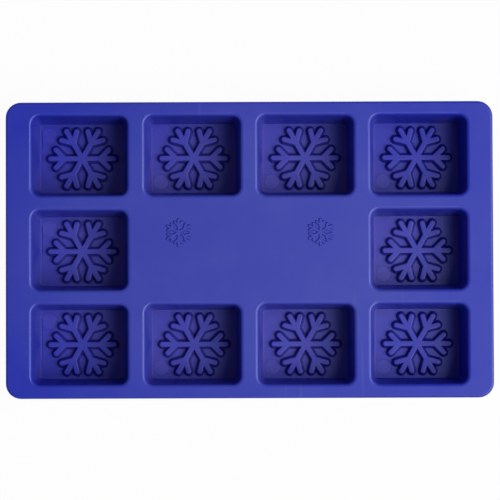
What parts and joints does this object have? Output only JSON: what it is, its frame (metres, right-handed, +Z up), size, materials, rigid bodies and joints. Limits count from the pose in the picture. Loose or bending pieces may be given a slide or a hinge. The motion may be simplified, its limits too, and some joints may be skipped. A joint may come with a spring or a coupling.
{
  "type": "ice cube tray",
  "caption": "Low moulded tray with tapered rectangular cells round a flat central panel, a raised snowflake on each cell floor and a turned-down rim.",
  "frame": {"origin": "centre of the area the tray stands on", "axes": "+X along the long side of the tray, +Y across it, +Z up out of the cells' mouths"},
  "size_m": [0.18, 0.1094, 0.0204],
  "materials": {
    "tray_plastic": "satin moulded, deep blue"
  },
  "bodies": {
    "root": {"ice_cube_tray": "tray_plastic"}
  },
  "joints": []
}
